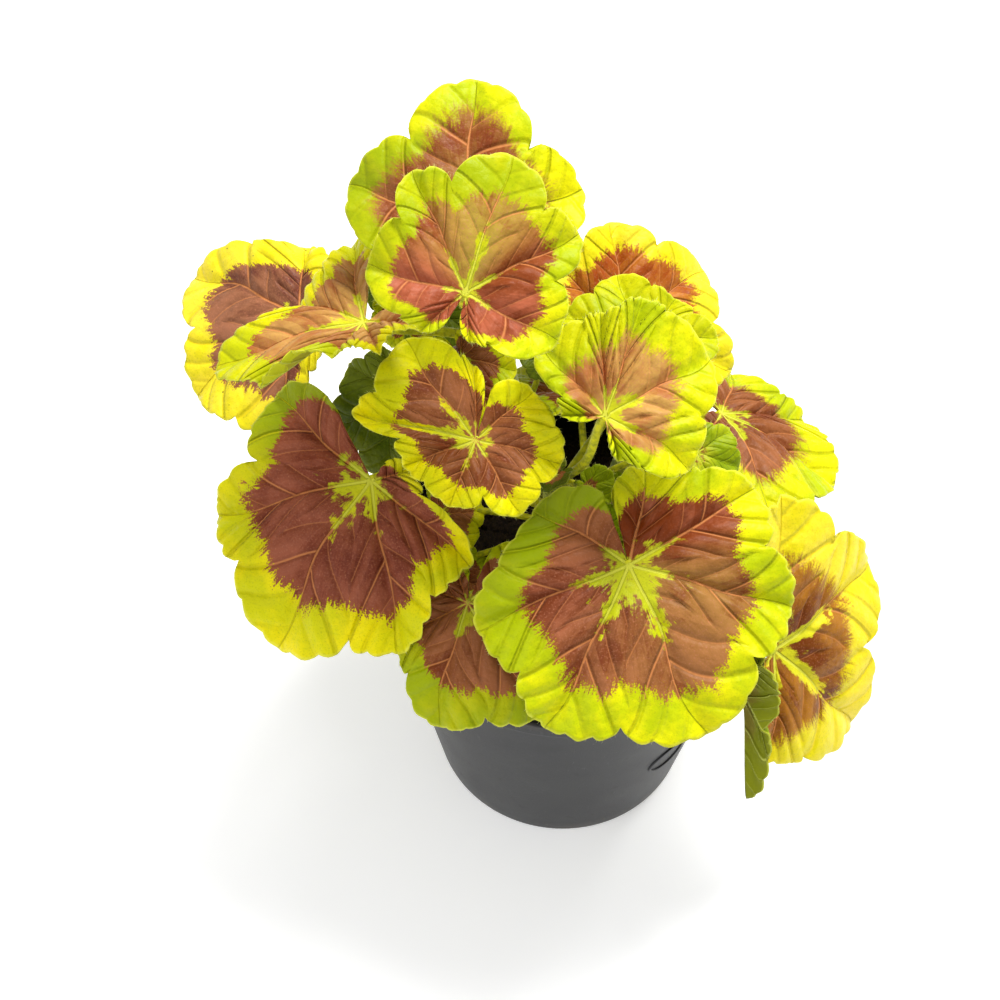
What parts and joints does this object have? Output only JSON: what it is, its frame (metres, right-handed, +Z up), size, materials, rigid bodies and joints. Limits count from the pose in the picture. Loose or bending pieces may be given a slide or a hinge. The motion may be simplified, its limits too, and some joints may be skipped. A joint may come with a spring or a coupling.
{
  "type": "potted zonal pelargonium",
  "caption": "Young zonal pelargonium with lime-edged bronze-zoned leaves, growing in a round dark grey plastic nursery pot filled with potting soil.",
  "frame": {"origin": "middle of the pot's flat underside, on the surface that the pot stands on", "axes": "+Z up along the pot's axis, -Y towards the picture's viewer, +X to the viewer's right"},
  "size_m": [0.1892, 0.1596, 0.2209],
  "materials": {
    "pot_plastic": "dark grey moulded polypropylene with a satin surface, light scuffs and dust",
    "potting_soil": null,
    "green_stem": "fleshy yellow-green shoots, browner at the foot; leather stands in for plant tissue",
    "variegated_leaf": "soft satin leaf, lime-yellow margin, red-brown zone with pale veins, yellow-green star at the stalk; leather stands in for plant tissue"
  },
  "bodies": {
    "root": {"pot": "pot_plastic", "soil": "potting_soil", "stem": "green_stem", "leaf_front_large": "variegated_leaf", "leaf_left_large": "variegated_leaf", "leaf_centre_small": "variegated_leaf", "leaf_right_furrowed": "variegated_leaf", "leaf_top_front": "variegated_leaf", "leaf_top_back": "variegated_leaf", "leaf_left_back": "variegated_leaf", "leaf_left_folded": "variegated_leaf", "leaf_right_back": "variegated_leaf", "leaf_right_inner": "variegated_leaf", "leaf_right_upper": "variegated_leaf", "leaf_right_low": "variegated_leaf", "leaf_front_low": "variegated_leaf", "leaf_right_hanging": "variegated_leaf", "leaf_left_shaded": "variegated_leaf", "leaf_inner_mid": "variegated_leaf", "leaf_inner_dark": "variegated_leaf", "leaf_right_pale": "variegated_leaf", "leaf_right_dark": "variegated_leaf", "leaf_inner_left": "variegated_leaf", "leaf_inner_low": "variegated_leaf", "leaf_inner_right": "variegated_leaf", "leaf_bud_left": "variegated_leaf", "leaf_bud_right": "variegated_leaf", "leaf_rear_middle": "variegated_leaf", "leaf_rear_right": "variegated_leaf", "leaf_rear_left": "variegated_leaf", "leaf_rear_low": "variegated_leaf", "leaf_rear_top": "variegated_leaf", "leaf_side_right": "variegated_leaf", "leaf_inner_back": "variegated_leaf", "leaf_rear_inner": "variegated_leaf"}
  },
  "joints": []
}
